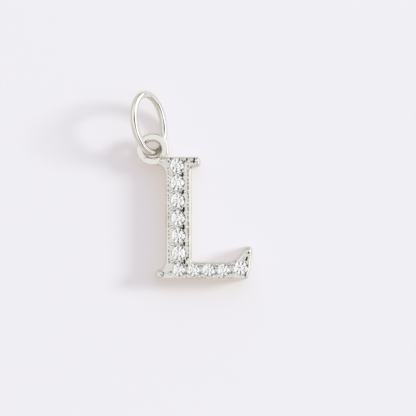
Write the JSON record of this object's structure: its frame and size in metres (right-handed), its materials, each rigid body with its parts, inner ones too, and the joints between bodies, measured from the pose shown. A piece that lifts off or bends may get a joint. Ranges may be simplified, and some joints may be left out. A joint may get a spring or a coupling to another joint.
{
  "type": "initial pendant",
  "caption": "Serif letter pendant grain-set with round clear stones, with a soldered bail loop and an oval jump ring, lying on its back.",
  "frame": {"origin": "centre of the whole piece seen from above, on the surface that the letter's back lies on", "axes": "+Y up the letter's stem towards the jump ring, +X along the foot towards its tip, +Z out of the stones' faces"},
  "size_m": [0.0099, 0.0154, 0.0033],
  "materials": {
    "silver": "polished, with a bright cut round the stones",
    "crystal": "faceted and polished"
  },
  "bodies": {
    "root": {"letter_setting": "silver", "jump_ring": "silver", "stone_01": "crystal", "stone_02": "crystal", "stone_03": "crystal", "stone_04": "crystal", "stone_05": "crystal", "stone_06": "crystal", "stone_07": "crystal", "stone_08": "crystal", "stone_09": "crystal", "stone_10": "crystal", "stone_11": "crystal"}
  },
  "joints": []
}
